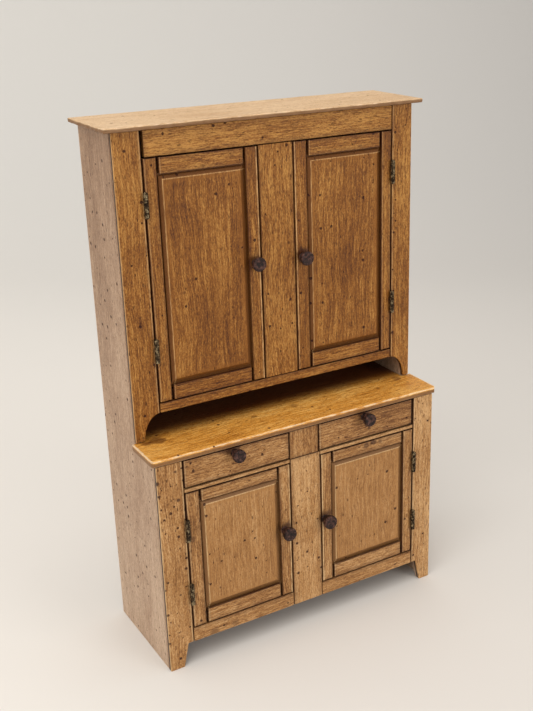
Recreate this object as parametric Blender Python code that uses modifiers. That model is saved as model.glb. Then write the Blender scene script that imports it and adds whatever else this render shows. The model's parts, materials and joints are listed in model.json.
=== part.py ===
"""Miniature step-back cupboard, 1:12 scale, in Blender units of metres, +Z up, front towards -Y.

The origin is on the floor under the middle of the whole cupboard. Depths below are measured back from
the front face of the lower case. Four doors turn on butt hinges and two drawers slide.
"""

import math

import bmesh
import bpy

MM = 0.001

# Whole case
HEIGHT = 178.0 * MM
CASE_WIDTH = 107.2 * MM
CASE_DEPTH = 42.0 * MM
UPPER_SETBACK = 14.7 * MM
SEAM = 0.3 * MM

# Top board and worktop
TOP_THICKNESS = 1.4 * MM
TOP_SIDE_OVERHANG = 3.05 * MM
TOP_FRONT_OVERHANG = 2.2 * MM
TOP_BACK_OVERHANG = 0.2 * MM
WORKTOP_HEIGHT = 78.0 * MM
WORKTOP_THICKNESS = 2.1 * MM
WORKTOP_SIDE_OVERHANG = 1.25 * MM
WORKTOP_FRONT_OVERHANG = 0.6 * MM
WORKTOP_NOSE_RADIUS = 0.95 * MM
WORKTOP_UNDER_EASING = 0.3 * MM
WORKTOP_CORNER_RADIUS = 1.5 * MM
CORNER_STEPS = 6

# Boards of the carcass
SIDE_THICKNESS = 2.4 * MM
BACK_THICKNESS = 1.5 * MM
BACK_BOTTOM = 8.0 * MM
BOARD_THICKNESS = 1.6 * MM
DUST_BOARD_THICKNESS = 1.1 * MM
SHELF_HEIGHT = 128.5 * MM
SHELF_SETBACK = 2.5 * MM

# Upper face frame
UPPER_FRAME_THICKNESS = 1.8 * MM
UPPER_OPENING = (-44.8 * MM, 45.6 * MM)
UPPER_CENTRE_STILE = (-5.65 * MM, 6.6 * MM)
UPPER_RAIL_BOTTOM = 168.4 * MM
UPPER_RAIL_LEFT_GAP = 1.0 * MM
UPPER_SILL = (86.75 * MM, 89.85 * MM)
BRACKET_WIDTH = 5.6 * MM
BRACKET_STEPS = 10

# Lower face frame
LOWER_FRAME_THICKNESS = 2.4 * MM
LOWER_OPENING = (-44.75 * MM, 45.35 * MM)
LOWER_CENTRE_STILE = (-5.6 * MM, 5.85 * MM)
LOWER_SILL = (8.6 * MM, 13.7 * MM)
DRAWER_RAIL = (64.25 * MM, 65.4 * MM)
DIVIDER = (-5.7 * MM, 5.2 * MM)
FOOT_SHOULDER = 2.0 * MM
FOOT_TAPER = 1.9 * MM

# Doors. Each pair of stile widths is the hinge stile's and the closing stile's.
DOOR_THICKNESS = 2.2 * MM
DOOR_GAP = 0.45 * MM
UPPER_LEFT_DOOR_STILES = (4.15 * MM, 4.2 * MM)
UPPER_RIGHT_DOOR_STILES = (3.8 * MM, 4.75 * MM)
LOWER_LEFT_DOOR_STILES = (4.6 * MM, 4.1 * MM)
LOWER_RIGHT_DOOR_STILES = (3.9 * MM, 4.1 * MM)
UPPER_DOOR_RAILS = (4.9 * MM, 4.9 * MM)
LOWER_DOOR_RAILS = (5.1 * MM, 4.0 * MM)
DOOR_JOINT_GAP = 0.8 * MM
LIP_THICKNESS = 1.1 * MM
REBATE = 1.7 * MM
TONGUE_OVERLAP = 1.2 * MM
TONGUE_DEPTH = 1.4 * MM
PANEL_GAP = 0.7 * MM
PANEL_BEVEL_WIDTH = 1.8 * MM
PANEL_BEVEL_RISE = 0.65 * MM
PANEL_FIELD_DEPTH = 0.25 * MM

# Drawers
LEFT_DRAWER = (-44.3 * MM, -6.2 * MM)
RIGHT_DRAWER = (5.75 * MM, 44.45 * MM)
DRAWER_FRONT_HEIGHTS = (66.1 * MM, 75.4 * MM)
DRAWER_FRONT_THICKNESS = 1.8 * MM
DRAWER_BOX_BOTTOM = 65.75 * MM
DRAWER_BOX_TOP = 74.4 * MM
DRAWER_BOX_BACK = 36.0 * MM
DRAWER_WALL = 1.0 * MM
DRAWER_BOTTOM = 0.8 * MM
DRAWER_SIDE_PLAY = 0.2 * MM
GUIDE_WIDTH = 2.0 * MM
GUIDE_HEIGHT = 3.6 * MM
GUIDE_PLAY = 0.45 * MM
GUIDE_BACK = 38.0 * MM

# Hinges
BARREL_RADIUS = 0.8 * MM
BARREL_LENGTH = 7.8 * MM
BARREL_STAND_OFF = 0.05 * MM
LEAF_THICKNESS = 0.2 * MM
LEAF_DEPTH = 1.9 * MM
LEAF_SEAT = 0.06 * MM
LEAF_HEIGHT = 7.2 * MM
UPPER_HINGE_HEIGHTS = (107.9 * MM, 154.2 * MM)
LOWER_HINGE_HEIGHTS = (27.3 * MM, 51.0 * MM)

# Knobs, turned by hand and so not all alike: radius, length, height, and offset from the middle in X
UPPER_LEFT_KNOB = (2.4 * MM, 3.4 * MM, 130.7 * MM, 0.0)
UPPER_RIGHT_KNOB = (2.45 * MM, 3.4 * MM, 129.9 * MM, 0.25 * MM)
LOWER_LEFT_KNOB = (2.45 * MM, 4.4 * MM, 39.7 * MM, -0.6 * MM)
LOWER_RIGHT_KNOB = (2.5 * MM, 4.4 * MM, 39.2 * MM, -0.8 * MM)
LEFT_DRAWER_KNOB = (2.3 * MM, 4.4 * MM, 73.8 * MM, -1.1 * MM)
RIGHT_DRAWER_KNOB = (2.3 * MM, 4.4 * MM, 73.85 * MM, -1.0 * MM)
KNOB_STEPS = 20
# The turned profile from the front to the neck, as (share of the radius, share of the length).
KNOB_PROFILE = (
    (0.0, 1.0),
    (0.45, 0.985),
    (0.8, 0.93),
    (0.97, 0.83),
    (1.0, 0.7),
    (0.93, 0.56),
    (0.78, 0.42),
    (0.6, 0.28),
    (0.5, 0.16),
    (0.52, 0.02),
    (0.0, 0.02),
)

# Worked out from the above
HALF_WIDTH = CASE_WIDTH / 2
INNER_HALF = HALF_WIDTH - SIDE_THICKNESS - SEAM
FACE_Y = -(CASE_DEPTH + TOP_BACK_OVERHANG - LOWER_LEFT_KNOB[1]) / 2
CASE_TOP = HEIGHT - TOP_THICKNESS - SEAM
UPPER_FRAME_BACK = UPPER_SETBACK + UPPER_FRAME_THICKNESS
LOWER_FRAME_BACK = LOWER_FRAME_THICKNESS
BOARD_BACK = CASE_DEPTH - BACK_THICKNESS - SEAM
WORKTOP_BOTTOM = WORKTOP_HEIGHT - WORKTOP_THICKNESS
WORKTOP_EAR_BACK = UPPER_SETBACK + 0.5 * MM
LOWER_CASE_TOP = WORKTOP_BOTTOM - SEAM


def clear_scene():
    for obj in list(bpy.data.objects):
        bpy.data.objects.remove(obj)


def new_collection(name):
    collection = bpy.data.collections.new(name)
    bpy.context.scene.collection.children.link(collection)
    return collection


def finish(name, colour, roughness, metallic=0.0):
    material = bpy.data.materials.new(name)
    material.use_nodes = True
    shader = material.node_tree.nodes["Principled BSDF"]
    shader.inputs["Base Color"].default_value = (*colour, 1.0)
    shader.inputs["Roughness"].default_value = roughness
    shader.inputs["Metallic"].default_value = metallic
    return material


def add_object(name, mesh, collection, material, centre, parent):
    obj = bpy.data.objects.new(name, mesh)
    collection.objects.link(obj)
    mesh.materials.append(material)
    obj.location = centre
    if parent:
        obj.parent = parent
        obj.location = obj.location - parent.location
    return obj


def box_mesh(name, x, depth, z):
    """A box mesh round its own centre, and that centre. Each size is a (low, high) range."""
    mesh = bpy.data.meshes.new(name)
    shape = bmesh.new()
    bmesh.ops.create_cube(shape, size=1.0)
    bmesh.ops.scale(shape, vec=(x[1] - x[0], depth[1] - depth[0], z[1] - z[0]), verts=shape.verts)
    shape.to_mesh(mesh)
    shape.free()
    return mesh, (sum(x) / 2, FACE_Y + sum(depth) / 2, sum(z) / 2)


def box(name, x, depth, z, material, parent=None):
    mesh, centre = box_mesh(name, x, depth, z)
    return add_object(name, mesh, PARTS, material, centre, parent)


def as_helper(obj):
    obj.hide_render = True
    obj.display_type = "WIRE"
    return obj


def helper_box(name, x, depth, z):
    """A box that only joins or cuts another piece."""
    mesh, centre = box_mesh(name, x, depth, z)
    return as_helper(add_object(name, mesh, HELPERS, WOODS["inside"], centre, None))


def combine(obj, helper, operation):
    modifier = obj.modifiers.new(operation.lower(), "BOOLEAN")
    modifier.operation = operation
    modifier.solver = "EXACT"
    modifier.object = helper


def joined_boxes(name, ranges, material, parent=None):
    """One piece of wood made of overlapping boxes, each (x, depth, z)."""
    obj = box(name, *ranges[0], material, parent)
    for number, extra in enumerate(ranges[1:], start=1):
        combine(obj, helper_box(f"{name}_part_{number}", *extra), "UNION")
    return obj


def outline_curve(name, points, thickness):
    """A flat outline in the curve's own XY plane, as a plate of the given thickness."""
    curve = bpy.data.curves.new(name, "CURVE")
    curve.dimensions = "2D"
    curve.fill_mode = "BOTH"
    curve.extrude = thickness / 2
    spline = curve.splines.new("POLY")
    spline.points.add(len(points) - 1)
    for point, (across, up) in zip(spline.points, points):
        point.co = (across, up, 0.0, 1.0)
    spline.use_cyclic_u = True
    return curve


def front_plate(name, points, depth, material):
    """An outline of (x, z) points standing upright and facing the front."""
    curve = outline_curve(name, points, depth[1] - depth[0])
    plate = add_object(name, curve, PARTS, material, (0.0, FACE_Y + sum(depth) / 2, 0.0), None)
    plate.rotation_euler = (math.pi / 2, 0.0, 0.0)
    return plate


def side_plate(name, points, x, material):
    """An outline of (depth, z) points standing upright, with its thickness along X."""
    curve = outline_curve(name, points, x[1] - x[0])
    plate = add_object(name, curve, PARTS, material, (sum(x) / 2, FACE_Y, 0.0), None)
    plate.rotation_euler = (math.pi / 2, 0.0, math.pi / 2)
    return plate


def as_mesh(obj):
    """The same piece as a closed mesh object, so that it can take a Boolean."""
    bpy.context.view_layer.update()
    graph = bpy.context.evaluated_depsgraph_get()
    mesh = bpy.data.meshes.new_from_object(obj.evaluated_get(graph))
    shape = bmesh.new()
    shape.from_mesh(mesh)
    bmesh.ops.remove_doubles(shape, verts=shape.verts, dist=0.001 * MM)
    shape.to_mesh(mesh)
    shape.free()
    name = obj.name
    matrix = obj.matrix_world.copy()
    bpy.data.objects.remove(obj)
    solid = bpy.data.objects.new(name, mesh)
    PARTS.objects.link(solid)
    solid.matrix_world = matrix
    return solid


def arc(centre, radii, start, end, steps):
    """Points round an ellipse, with angles in degrees, both ends included."""
    angles = [math.radians(start + (end - start) * i / steps) for i in range(steps + 1)]
    return [(centre[0] + radii[0] * math.cos(a), centre[1] + radii[1] * math.sin(a)) for a in angles]


def mirrored(points):
    return [(-across, up) for across, up in reversed(points)]


def make_side_panels():
    """One stepped board a side, from the floor to the top board, notched for the worktop."""
    notch = WORKTOP_EAR_BACK + SEAM
    outline = [
        (LOWER_FRAME_BACK + SEAM, 0.0),
        (CASE_DEPTH, 0.0),
        (CASE_DEPTH, CASE_TOP),
        (UPPER_FRAME_BACK + SEAM, CASE_TOP),
        (UPPER_FRAME_BACK + SEAM, WORKTOP_HEIGHT),
        (notch, WORKTOP_HEIGHT),
        (notch, LOWER_CASE_TOP),
        (LOWER_FRAME_BACK + SEAM, LOWER_CASE_TOP),
    ]
    side_plate("left_side_panel", outline, (-HALF_WIDTH, SIDE_THICKNESS - HALF_WIDTH), WOODS["side"])
    side_plate("right_side_panel", outline, (HALF_WIDTH - SIDE_THICKNESS, HALF_WIDTH), WOODS["side"])


def worktop_profile():
    """The worktop's section as (depth, z) points, with its nose rounded above and eased below."""
    radius = WORKTOP_NOSE_RADIUS
    easing = WORKTOP_UNDER_EASING
    nose = arc((radius - WORKTOP_FRONT_OVERHANG, WORKTOP_HEIGHT - radius), (radius, radius), 90, 180, 5)
    return [
        (WORKTOP_EAR_BACK, WORKTOP_HEIGHT),
        *nose,
        (-WORKTOP_FRONT_OVERHANG, WORKTOP_BOTTOM + easing),
        (easing - WORKTOP_FRONT_OVERHANG, WORKTOP_BOTTOM),
        (WORKTOP_EAR_BACK, WORKTOP_BOTTOM),
    ]


def worktop_corner_trim(end):
    """A block that keeps what lies inside the worktop's plan, which has rounded front corners."""
    radius = WORKTOP_CORNER_RADIUS
    front = -WORKTOP_FRONT_OVERHANG
    right = arc((end - radius, front + radius), (radius, radius), -90, 0, CORNER_STEPS)
    plan = mirrored(right) + right + [(end, CASE_DEPTH), (-end, CASE_DEPTH)]
    mesh = bpy.data.meshes.new("worktop_plan")
    shape = bmesh.new()
    floor = shape.faces.new([shape.verts.new((across, depth, 0.0)) for across, depth in plan])
    sides = bmesh.ops.extrude_face_region(shape, geom=[floor])["geom"]
    raised = [item for item in sides if isinstance(item, bmesh.types.BMVert)]
    bmesh.ops.translate(shape, vec=(0.0, 0.0, HEIGHT), verts=raised)
    bmesh.ops.recalc_face_normals(shape, faces=shape.faces)
    shape.to_mesh(mesh)
    shape.free()
    return as_helper(add_object("worktop_plan", mesh, HELPERS, WOODS["inside"], (0.0, FACE_Y, 0.0), None))


def make_worktop():
    """A board with a rounded nose. Its ears pass the sides, and the rest runs back between them."""
    end = HALF_WIDTH + WORKTOP_SIDE_OVERHANG
    board = as_mesh(side_plate("worktop", worktop_profile(), (-end, end), WOODS["worktop"]))
    combine(board, worktop_corner_trim(end), "INTERSECT")
    depth = (WORKTOP_EAR_BACK - SEAM, BOARD_BACK)
    heights = (WORKTOP_BOTTOM, WORKTOP_HEIGHT)
    combine(board, helper_box("worktop_part_1", (-INNER_HALF, INNER_HALF), depth, heights), "UNION")


def make_carcass():
    wide = (-INNER_HALF, INNER_HALF)
    top_end = HALF_WIDTH + TOP_SIDE_OVERHANG
    top_depth = (UPPER_SETBACK - TOP_FRONT_OVERHANG, CASE_DEPTH + TOP_BACK_OVERHANG)
    box("top_board", (-top_end, top_end), top_depth, (HEIGHT - TOP_THICKNESS, HEIGHT), WOODS["top"])
    make_side_panels()
    make_worktop()
    box("back_panel", wide, (BOARD_BACK + SEAM, CASE_DEPTH), (BACK_BOTTOM, CASE_TOP), WOODS["side"])
    upper_depth = (UPPER_FRAME_BACK + SEAM, BOARD_BACK)
    lower_depth = (LOWER_FRAME_BACK + SEAM, BOARD_BACK)
    upper_floor = UPPER_SILL[1] - SEAM
    lower_floor = LOWER_SILL[1] - SEAM
    shelf_depth = (UPPER_FRAME_BACK + SHELF_SETBACK, BOARD_BACK)
    shelf = (SHELF_HEIGHT, SHELF_HEIGHT + BOARD_THICKNESS)
    box("upper_case_floor", wide, upper_depth, (upper_floor - BOARD_THICKNESS, upper_floor), WOODS["inside"])
    box("upper_shelf", wide, shelf_depth, shelf, WOODS["inside"])
    box("lower_case_floor", wide, lower_depth, (lower_floor - BOARD_THICKNESS, lower_floor), WOODS["inside"])
    make_dust_board(wide, lower_depth)


def make_dust_board(wide, depth):
    """The board under the drawers, with the strips that guide their outer sides."""
    top = DRAWER_RAIL[1]
    guide_heights = (top - DUST_BOARD_THICKNESS / 2, top + GUIDE_HEIGHT)
    guide_depth = (depth[0], GUIDE_BACK)
    left = LEFT_DRAWER[0] - GUIDE_PLAY
    right = RIGHT_DRAWER[1] + GUIDE_PLAY
    pieces = [
        (wide, depth, (top - DUST_BOARD_THICKNESS, top)),
        ((left - GUIDE_WIDTH, left), guide_depth, guide_heights),
        ((right, right + GUIDE_WIDTH), guide_depth, guide_heights),
    ]
    joined_boxes("dust_board", pieces, WOODS["inside"])


def upper_stile_outline(inner):
    """The right-hand stile: straight above the sill, then a concave bracket down to the worktop."""
    foot = WORKTOP_HEIGHT + SEAM
    bracket = arc((inner, foot), (BRACKET_WIDTH, UPPER_SILL[0] - foot), 90, 0, BRACKET_STEPS)
    return [(HALF_WIDTH, foot), (HALF_WIDTH, CASE_TOP), (inner, CASE_TOP), *bracket]


def lower_stile_outline(inner):
    """The right-hand stile: shouldered under the sill, then tapering to a small foot."""
    shoulder = inner + FOOT_SHOULDER
    return [
        (HALF_WIDTH, 0.0),
        (HALF_WIDTH, LOWER_CASE_TOP),
        (inner, LOWER_CASE_TOP),
        (inner, LOWER_SILL[0]),
        (shoulder, LOWER_SILL[0]),
        (shoulder + FOOT_TAPER, 0.0),
    ]


def make_upper_frame():
    depth = (UPPER_SETBACK, UPPER_FRAME_BACK)
    left, right = UPPER_OPENING
    front_plate("upper_left_stile", mirrored(upper_stile_outline(-left)), depth, WOODS["upper_front"])
    front_plate("upper_right_stile", upper_stile_outline(right), depth, WOODS["upper_front"])
    top_rail = (left + UPPER_RAIL_LEFT_GAP, right - SEAM)
    box("upper_top_rail", top_rail, depth, (UPPER_RAIL_BOTTOM, CASE_TOP), WOODS["upper_front"])
    centre_heights = (UPPER_SILL[1] + SEAM, UPPER_RAIL_BOTTOM - SEAM)
    box("upper_centre_stile", UPPER_CENTRE_STILE, depth, centre_heights, WOODS["upper_front"])
    box("upper_bottom_rail", (left + SEAM, right - SEAM), depth, UPPER_SILL, WOODS["upper_front"])


def make_lower_frame():
    depth = (0.0, LOWER_FRAME_THICKNESS)
    wood = WOODS["lower_front"]
    left, right = LOWER_OPENING
    middle = LOWER_CENTRE_STILE
    front_plate("lower_left_stile", mirrored(lower_stile_outline(-left)), depth, wood)
    front_plate("lower_right_stile", lower_stile_outline(right), depth, wood)
    box("lower_centre_stile", middle, depth, (LOWER_SILL[0], DRAWER_RAIL[1]), wood)
    for side, x in (("left", (left + SEAM, middle[0] - SEAM)), ("right", (middle[1] + SEAM, right - SEAM))):
        box(f"{side}_drawer_rail", x, depth, DRAWER_RAIL, wood)
        box(f"{side}_bottom_rail", x, depth, LOWER_SILL, wood)
    base = DRAWER_RAIL[1] + SEAM
    guide_x = (LEFT_DRAWER[1] + GUIDE_PLAY, RIGHT_DRAWER[0] - GUIDE_PLAY)
    guide_depth = (LOWER_FRAME_THICKNESS / 2, GUIDE_BACK)
    pieces = [
        (DIVIDER, depth, (base, LOWER_CASE_TOP)),
        (guide_x, guide_depth, (base, base + GUIDE_HEIGHT)),
    ]
    joined_boxes("drawer_divider", pieces, wood)


def empty_at(name, location):
    empty = bpy.data.objects.new(name, None)
    PARTS.objects.link(empty)
    empty.location = location
    return empty


def back_depth(face, start, end):
    return (face + start, face + end)


def make_door_stile(name, x, z, face, rebated_side, wood, parent):
    """A door stile with a rebate along its back inner edge. rebated_side is +1 for its +X edge."""
    core = (x[0] - min(rebated_side, 0) * REBATE, x[1] - max(rebated_side, 0) * REBATE)
    pieces = [(x, back_depth(face, 0, LIP_THICKNESS), z), (core, back_depth(face, 0, DOOR_THICKNESS), z)]
    joined_boxes(name, pieces, wood, parent)


def make_door_rail(name, x, z, face, rebated_side, wood, parent):
    """A door rail: a lip over the panel, and a tongue behind each stile. rebated_side is +1 for its top."""
    core = (z[0] - min(rebated_side, 0) * REBATE, z[1] - max(rebated_side, 0) * REBATE)
    reach = DOOR_JOINT_GAP + TONGUE_OVERLAP
    pieces = [
        (x, back_depth(face, 0, LIP_THICKNESS), z),
        (x, back_depth(face, 0, DOOR_THICKNESS), core),
        ((x[0] - reach, x[1] + reach), back_depth(face, TONGUE_DEPTH, DOOR_THICKNESS), core),
    ]
    joined_boxes(name, pieces, wood, parent)


def make_door_panel(name, x, z, face, wood, parent):
    """A raised panel: a bevelled field in front of a plate that reaches behind the frame's lips."""
    reach = PANEL_GAP + TONGUE_OVERLAP
    plate_depth = back_depth(face, TONGUE_DEPTH, DOOR_THICKNESS)
    panel = box(name, (x[0] - reach, x[1] + reach), plate_depth, (z[0] - reach, z[1] + reach), wood, parent)
    shape = bmesh.new()
    shape.from_mesh(panel.data)
    shape.faces.ensure_lookup_table()
    front = min(shape.faces, key=lambda plane: plane.calc_center_median().y)
    # The plate's edge is left behind, then the visible panel rises in a straight step and a bevel.
    bmesh.ops.inset_region(shape, faces=[front], thickness=reach + PANEL_GAP, depth=0.0)
    raised = bmesh.ops.extrude_discrete_faces(shape, faces=[front])["faces"]
    step = TONGUE_DEPTH - PANEL_FIELD_DEPTH - PANEL_BEVEL_RISE
    bmesh.ops.translate(shape, vec=(0.0, -step, 0.0), verts=raised[0].verts)
    bmesh.ops.inset_region(shape, faces=raised, thickness=PANEL_BEVEL_WIDTH, depth=PANEL_BEVEL_RISE)
    bmesh.ops.recalc_face_normals(shape, faces=shape.faces)
    shape.to_mesh(panel.data)
    shape.free()


def make_hinge(name, axis_x, leaf_side, height, face):
    """The half of a butt hinge that is screwed to the case: its barrel, and its leaf in the gap."""
    mesh = bpy.data.meshes.new(name)
    shape = bmesh.new()
    bmesh.ops.create_cone(
        shape,
        cap_ends=True,
        segments=16,
        radius1=BARREL_RADIUS,
        radius2=BARREL_RADIUS,
        depth=BARREL_LENGTH,
    )
    shape.to_mesh(mesh)
    shape.free()
    mesh.shade_smooth()
    mesh.set_sharp_from_angle(angle=math.radians(40))
    axis_depth = face - BARREL_RADIUS - BARREL_STAND_OFF
    barrel = add_object(name, mesh, PARTS, BRASS, (axis_x, FACE_Y + axis_depth, height), None)
    outer = axis_x + leaf_side * (DOOR_GAP / 2 - LEAF_SEAT)
    inner = outer - leaf_side * LEAF_THICKNESS
    leaf_heights = (height - LEAF_HEIGHT / 2, height + LEAF_HEIGHT / 2)
    leaf_x = (min(outer, inner), max(outer, inner))
    leaf = helper_box(f"{name}_leaf", leaf_x, (axis_depth, face + LEAF_DEPTH), leaf_heights)
    combine(barrel, leaf, "UNION")


def make_knob(name, middle, knob, face, parent):
    """A turned knob whose axis points to the front."""
    radius, length, height, offset = knob
    x = middle + offset
    mesh = bpy.data.meshes.new(name)
    points = [(across * radius, 0.0, along * length) for across, along in KNOB_PROFILE]
    edges = [(i, i + 1) for i in range(len(points) - 1)]
    mesh.from_pydata(points, edges, [])
    knob = add_object(name, mesh, PARTS, KNOB_WOOD, (x, FACE_Y + face, height), parent)
    knob.rotation_euler = (math.pi / 2, 0.0, 0.0)
    screw = knob.modifiers.new("turned", "SCREW")
    screw.steps = KNOB_STEPS
    screw.render_steps = KNOB_STEPS
    screw.use_merge_vertices = True
    screw.merge_threshold = 0.001 * MM
    screw.use_smooth_shade = True


def make_door(name, opening, stile_widths, rail_widths, heights, face, hinge_side, wood):
    """A framed door that swings on its hinge stile. hinge_side is -1 where that is its -X edge."""
    x = (opening[0] + DOOR_GAP, opening[1] - DOOR_GAP)
    z = (heights[0] + DOOR_GAP, heights[1] - DOOR_GAP)
    axis_x = opening[0] + DOOR_GAP / 2 if hinge_side < 0 else opening[1] - DOOR_GAP / 2
    axis_y = FACE_Y + face - BARREL_RADIUS - BARREL_STAND_OFF
    pivot = empty_at(f"{name}_pivot", (axis_x, axis_y, z[0]))
    widths = dict(zip(("hinge_stile", "closing_stile"), stile_widths))
    low_name, high_name = list(widths) if hinge_side < 0 else list(reversed(widths))
    low_stile = (x[0], x[0] + widths[low_name])
    high_stile = (x[1] - widths[high_name], x[1])
    make_door_stile(f"{name}_{low_name}", low_stile, z, face, 1, wood, pivot)
    make_door_stile(f"{name}_{high_name}", high_stile, z, face, -1, wood, pivot)
    between = (low_stile[1] + DOOR_JOINT_GAP, high_stile[0] - DOOR_JOINT_GAP)
    bottom = (z[0], z[0] + rail_widths[0])
    top = (z[1] - rail_widths[1], z[1])
    make_door_rail(f"{name}_bottom_rail", between, bottom, face, 1, wood, pivot)
    make_door_rail(f"{name}_top_rail", between, top, face, -1, wood, pivot)
    panel_x = (low_stile[1] + PANEL_GAP, high_stile[0] - PANEL_GAP)
    panel_z = (bottom[1] + PANEL_GAP, top[0] - PANEL_GAP)
    make_door_panel(f"{name}_panel", panel_x, panel_z, face, wood, pivot)
    closing = high_stile if hinge_side < 0 else low_stile
    return pivot, axis_x, sum(closing) / 2


def make_door_fittings(name, door, hinge_side, hinge_heights, knob, face):
    pivot, axis_x, stile_middle = door
    make_knob(f"{name}_knob", stile_middle, knob, face, pivot)
    for place, height in zip(("lower", "upper"), hinge_heights):
        make_hinge(f"{name}_{place}_hinge", axis_x, hinge_side, height, face)


def make_upper_doors():
    heights = (UPPER_SILL[1], UPPER_RAIL_BOTTOM)
    left = (UPPER_OPENING[0], UPPER_CENTRE_STILE[0])
    right = (UPPER_CENTRE_STILE[1], UPPER_OPENING[1])
    wood = WOODS["upper_front"]
    doors = (
        ("upper_left_door", left, UPPER_LEFT_DOOR_STILES, UPPER_LEFT_KNOB, -1),
        ("upper_right_door", right, UPPER_RIGHT_DOOR_STILES, UPPER_RIGHT_KNOB, 1),
    )
    for name, opening, stiles, knob, side in doors:
        door = make_door(name, opening, stiles, UPPER_DOOR_RAILS, heights, UPPER_SETBACK, side, wood)
        make_door_fittings(name, door, side, UPPER_HINGE_HEIGHTS, knob, UPPER_SETBACK)


def make_lower_doors():
    heights = (LOWER_SILL[1], DRAWER_RAIL[0])
    left = (LOWER_OPENING[0], LOWER_CENTRE_STILE[0])
    right = (LOWER_CENTRE_STILE[1], LOWER_OPENING[1])
    wood = WOODS["lower_front"]
    doors = (
        ("lower_left_door", left, LOWER_LEFT_DOOR_STILES, LOWER_LEFT_KNOB, -1),
        ("lower_right_door", right, LOWER_RIGHT_DOOR_STILES, LOWER_RIGHT_KNOB, 1),
    )
    for name, opening, stiles, knob, side in doors:
        door = make_door(name, opening, stiles, LOWER_DOOR_RAILS, heights, 0.0, side, wood)
        make_door_fittings(name, door, side, LOWER_HINGE_HEIGHTS, knob, 0.0)


def make_drawer(name, x, knob):
    """A drawer front, its knob, and the open box behind it."""
    slide = empty_at(f"{name}_slide", (sum(x) / 2, FACE_Y, DRAWER_BOX_BOTTOM))
    box(f"{name}_front", x, (0.0, DRAWER_FRONT_THICKNESS), DRAWER_FRONT_HEIGHTS, WOODS["lower_front"], slide)
    outer_x = (x[0] + DRAWER_SIDE_PLAY, x[1] - DRAWER_SIDE_PLAY)
    outer_depth = (DRAWER_FRONT_THICKNESS + SEAM, DRAWER_BOX_BACK)
    heights = (DRAWER_BOX_BOTTOM, DRAWER_BOX_TOP)
    tray = box(f"{name}_box", outer_x, outer_depth, heights, WOODS["inside"], slide)
    inner_x = (outer_x[0] + DRAWER_WALL, outer_x[1] - DRAWER_WALL)
    inner_depth = (outer_depth[0] + DRAWER_WALL, outer_depth[1] - DRAWER_WALL)
    inner_heights = (heights[0] + DRAWER_BOTTOM, heights[1] + DRAWER_WALL)
    combine(tray, helper_box(f"{name}_hollow", inner_x, inner_depth, inner_heights), "DIFFERENCE")
    make_knob(f"{name}_knob", sum(x) / 2, knob, 0.0, slide)


clear_scene()
PARTS = new_collection("step_back_cupboard")
HELPERS = new_collection("helpers")
WOODS = {
    "top": finish("top_board_wood", (0.66, 0.46, 0.27), 0.5),
    "worktop": finish("worktop_wood", (0.55, 0.30, 0.09), 0.35),
    "side": finish("side_wood", (0.36, 0.25, 0.18), 0.6),
    "upper_front": finish("upper_front_wood", (0.36, 0.17, 0.06), 0.42),
    "lower_front": finish("lower_front_wood", (0.42, 0.22, 0.09), 0.42),
    "inside": finish("inside_wood", (0.22, 0.12, 0.06), 0.7),
}
KNOB_WOOD = finish("knob_wood", (0.06, 0.035, 0.03), 0.35)
BRASS = finish("aged_brass", (0.25, 0.19, 0.09), 0.4, 1.0)
make_carcass()
make_upper_frame()
make_lower_frame()
make_upper_doors()
make_lower_doors()
make_drawer("left_drawer", LEFT_DRAWER, LEFT_DRAWER_KNOB)
make_drawer("right_drawer", RIGHT_DRAWER, RIGHT_DRAWER_KNOB)
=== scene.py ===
"""Looks for the miniature step-back cupboard: wood, wear, fittings, light and camera.

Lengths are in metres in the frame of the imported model, with +Z up and the front towards -Y.
Shader patterns are worked out in millimetres, so their sizes read as sizes on the cupboard.
"""

import json
import math
import random
from collections import namedtuple

import bmesh
import bpy
from mathutils import Matrix, Vector, noise


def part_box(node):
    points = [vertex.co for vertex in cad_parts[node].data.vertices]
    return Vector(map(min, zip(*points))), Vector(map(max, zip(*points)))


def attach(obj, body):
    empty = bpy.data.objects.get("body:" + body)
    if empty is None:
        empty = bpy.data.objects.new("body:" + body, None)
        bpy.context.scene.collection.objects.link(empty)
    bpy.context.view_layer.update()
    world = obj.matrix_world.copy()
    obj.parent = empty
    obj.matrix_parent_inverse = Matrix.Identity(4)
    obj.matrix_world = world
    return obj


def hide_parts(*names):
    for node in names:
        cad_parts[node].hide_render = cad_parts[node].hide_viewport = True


MM = 0.001
PER_METRE = 1000.0

# Camera, from the vanishing points of the cupboard's own edges
CAMERA_POINT = (-0.16436, -0.29789, 0.22324)
CAMERA_TURN = (69.474, 0.762, -32.274)
CAMERA_LENS = 53.81
CAMERA_SHIFT = (-0.08697, -0.00276)
CAMERA_SENSOR = 36.0
CAMERA_CLIP = 0.01

# Floor and light: the floor's colour from left to right, painted darker to the right where less light
# falls, and how much darker it is painted far behind, a painted shade
FLOOR_SHADED_COLOURS = ((243, 240, 235), (224, 221, 217), (197, 194, 191))
FLOOR_FADE = 0.40
BACKDROP_SHADE = (243, 245, 247)
BACKDROP_FADE = (0.1, 0.7)
FLOOR_ROUGHNESS = 0.9
FLOOR_SHINE = 0.1
ROOM_COLOUR = (244, 239, 232)
ROOM_STRENGTH = 0.62
LIGHTS = (
    # name, place, width, power, colour
    ("key", (-0.60, -0.45, 0.85), 0.7, 4.6, (255, 251, 246)),
    ("overhead", (0.05, 0.02, 0.90), 0.6, 2.4, (255, 251, 246)),
    ("front", (0.42, -1.02, 0.34), 0.5, 4.0, (255, 250, 244)),
    ("left", (-0.95, 0.06, 0.36), 0.5, 1.3, (255, 252, 248)),
)
AIM = (0.0, 0.0, 0.09)
SWEEP_FRONT = -6.0
SWEEP_BEND = 0.42
SWEEP_RADIUS = 0.6
SWEEP_TOP = 1.8
SWEEP_HALF = 6.0
SWEEP_STEPS = 24

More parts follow.
